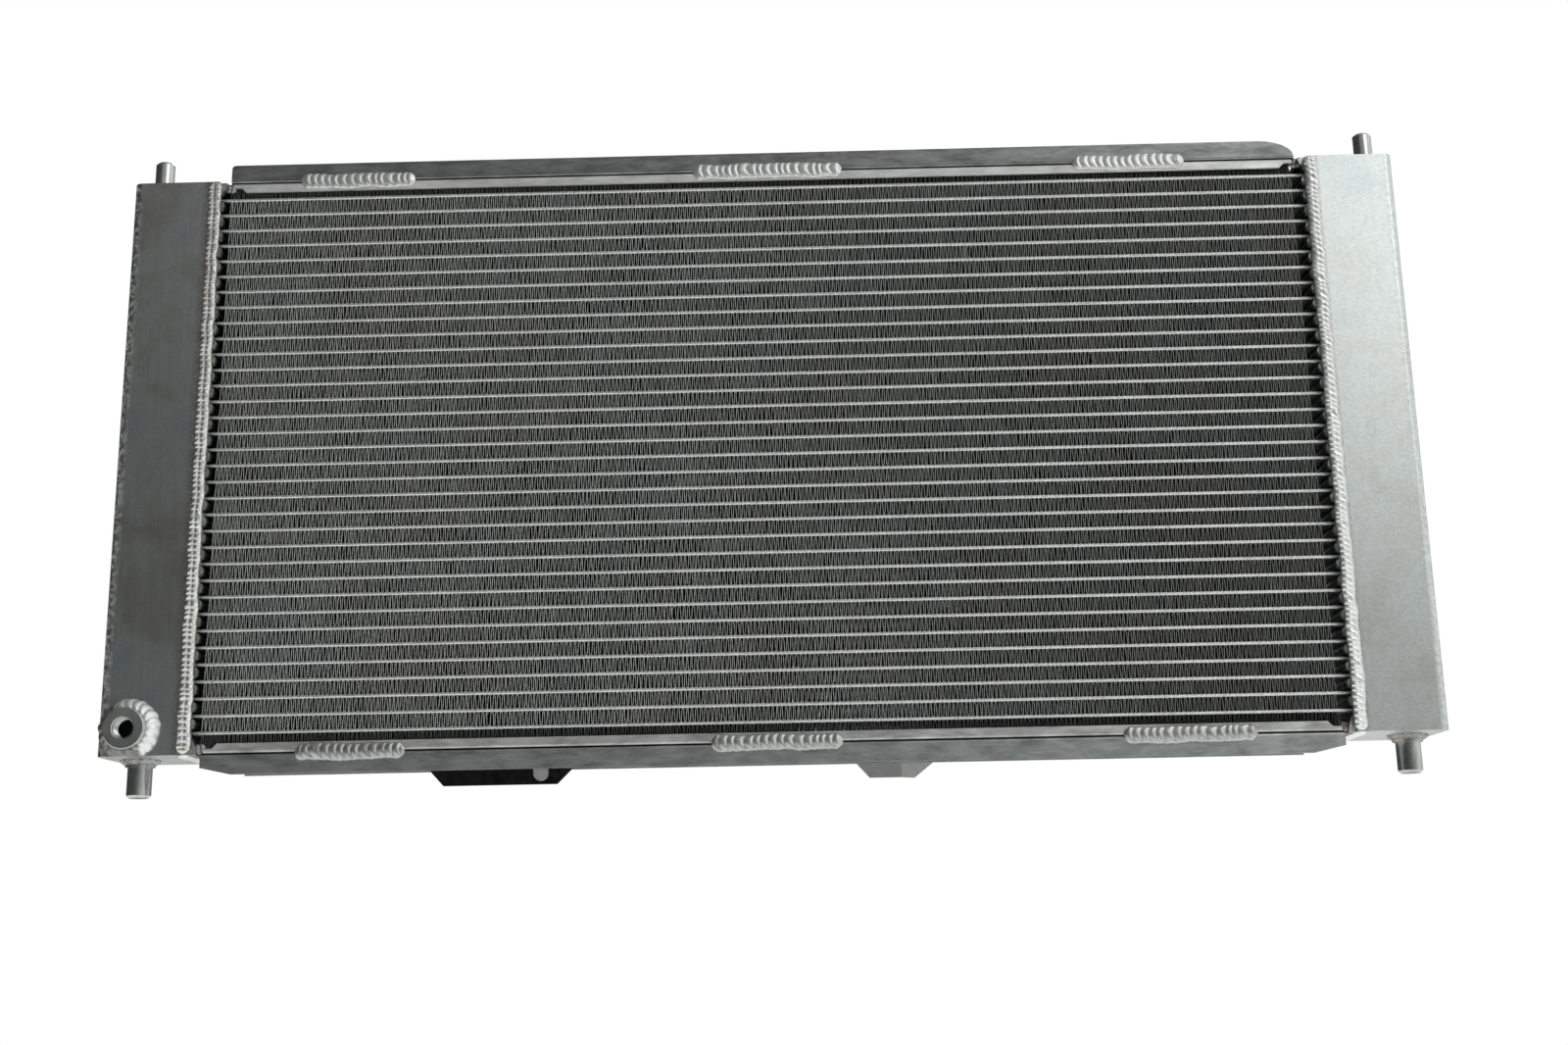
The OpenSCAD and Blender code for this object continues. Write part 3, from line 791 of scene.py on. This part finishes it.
# ---------------------------------------------------------------- boss and necks

TURN_STEPS = 72       # points around a turned fitting
THREAD_ROOT, THREAD_CREST, THREAD_PITCH = 6.3 * MM, 5.75 * MM, 1.41 * MM
CHAMFER = 0.5 * MM


def turned(node, centre, axis, profile, material):
    """A closed profile of (radius, distance along the axis), turned about the axis.

    profile gives the points for the angle that it is turned to.
    """
    axis = Vector(axis)
    first, second = across_axis(axis)
    points = []
    for step in range(TURN_STEPS):
        turn = 2 * math.pi * step / TURN_STEPS
        outward = first * math.cos(turn) + second * math.sin(turn)
        points += [Vector(centre) + outward * r + axis * d for r, d in profile(turn)]
    quads = ring_quads(TURN_STEPS, len(profile(0.0)), closed_along=True)
    new_piece(f"{node}_turned", points, quads, material, node, smooth=False)


def add_boss(material):
    """Threaded boss with chamfered edges and a cut thread inside."""
    centre, outer, length = round_node("sensor_boss", FORWARD)
    root, crest, pitch = THREAD_ROOT, THREAD_CREST, THREAD_PITCH

    def profile(turn):
        ring = [(outer, 0), (outer, length - CHAMFER), (outer - CHAMFER, length),
                (root + CHAMFER, length), (root, length - 0.6 * MM)]
        for k in range(int(length / pitch) - 1, -1, -1):
            foot = k * pitch + pitch * turn / (2 * math.pi)
            ring += [(root, min(foot + 0.6 * pitch, length - 0.7 * MM)),
                     (crest, min(foot + 0.35 * pitch, length - 0.8 * MM)),
                     (crest, max(min(foot + 0.2 * pitch, length - 0.85 * MM), 0.0))]
        return ring + [(crest, 0)]

    turned("sensor_boss", centre, FORWARD, profile, material)


def add_necks(material):
    """Hose necks with a rolled bead near the mouth, which keeps the hose on."""
    for node in NECKS:
        centre, shoulder, length = round_node(node, REARWARD)
        radius = shoulder - 1.5 * MM
        bore = radius - 2.5 * MM
        bead_at, bead_height, bead_reach = length - 6 * MM, 1.3 * MM, 3 * MM
        ring = [(bore, 0), (shoulder, 0), (shoulder, 3.4 * MM), (shoulder - 0.6 * MM, 4 * MM),
                (radius, 4 * MM)]
        for angle in np.linspace(0, math.pi, 9):
            ring.append((radius + bead_height * math.sin(angle),
                         bead_at - bead_reach * math.cos(angle)))
        ring += [(radius, length - CHAMFER), (radius - CHAMFER, length),
                 (bore + CHAMFER, length), (bore, length - CHAMFER)]
        turned(node, centre, REARWARD, lambda turn, points=ring: points, material)


# ---------------------------------------------------------------- putting it together

def paint_nodes(material, *names):
    """Puts a material on CAD nodes that are shown as they are."""
    for name in names:
        thing = bpy.data.objects[name]
        thing.data.materials.clear()
        thing.data.materials.append(material)


def paint_tanks():
    """The left tank is darker, more stained and more brushed than the right one."""
    left = tank_paint("left_tank_sheet", (0.43, 0.44, 0.435), (0.52, 0.535, 0.53), 0.9, 0.5,
                      (4.5 * MM, (0.26, 0.22, 0.19)))
    right = tank_paint("right_tank_sheet", (0.58, 0.60, 0.595), (0.70, 0.72, 0.715), 0.3, 0.15,
                       (1.6 * MM, (0.50, 0.42, 0.36)))
    for (word, _), material in zip(SIDES, (left, right)):
        paint_nodes(material, f"{word}_tank", f"{word}_tank_top_cap", f"{word}_tank_bottom_cap")


def paint_side_sheets():
    """Side plates and rails, each edge with its own lightness, which is painted light and shade: the
    top plate lighter than the bottom plate, the top rail darker than the bottom rail.
    """
    # painted light and shade: the lightness of each edge's plate and rail
    for edge, plate_light, plate_metallic, rail_light in (("top", 0.95, 0.4, 0.30),
                                                          ("bottom", 0.54, 0.6, 0.43)):
        plate = sheet_paint(f"{edge}_side_plate_sheet", plate_light, (1.0, 0.99, 0.96), 1.1,
                            plate_metallic)
        rail = sheet_paint(f"{edge}_rail_sheet", rail_light, (0.96, 1.0, 0.99), 1.08, 1.0)
        paint_nodes(plate, f"{edge}_side_plate")
        paint_nodes(rail, f"{edge}_rail")


def paint_brackets():
    """One bracket is nearly black. The tab and the other bracket are plain metal."""
    dark = bracket_paint("dark_bracket", (0.012, 0.012, 0.012), (0.03, 0.03, 0.03), 0.55)
    plain = bracket_paint("plain_bracket", (0.40, 0.40, 0.38), (0.52, 0.52, 0.50), 0.5)
    paint_nodes(dark, "left_lower_bracket")
    paint_nodes(plain, "locating_tab", "right_lower_bracket")


def add_studio():
    """Camera, light and floor."""
    bpy.context.scene.view_settings.view_transform = "Standard"
    add_camera()
    add_world()
    for light in LIGHTS:
        add_area_light(*light)
    add_floor()


def paint_cad():
    """Materials of every CAD node that stays."""
    paint_nodes(tube_paint(), *TUBES)
    paint_nodes(header_paint(), "left_header", "right_header")
    paint_tanks()
    paint_side_sheets()
    paint_brackets()
    pins = fitting_paint("turned_pin", (0.004, 0.004, 0.009), 0.03 * MM, 0.17)
    paint_nodes(pins, *(node for node, _ in PINS))


def add_pieces():
    """Finer pieces in place of the fins, welds, boss and necks of the CAD."""
    fitting = fitting_paint("turned_fitting", (0.02, 0.0006, 0.02), 0.06 * MM, 0.26)
    left_bead = weld_paint("left_weld_bead", 0.95, 0.7)
    right_bead = weld_paint("right_weld_bead", 0.98, 0.15)
    stained = weld_paint("weld_stained", 0.42, 1.0)
    add_fins()
    add_header_welds({"left": left_bead, "right": right_bead})
    add_rail_welds({"upper": weld_paint("upper_stitch_weld", 0.88, 0.25, 0.85, 0.50),
                    "lower": weld_paint("lower_stitch_weld", 0.62, 0.30, 1.0, 0.44)})
    add_corner_tacks(stained)
    add_fitting_welds(right_bead, stained)
    add_boss(fitting)
    add_necks(fitting)


add_studio()
paint_cad()
add_pieces()
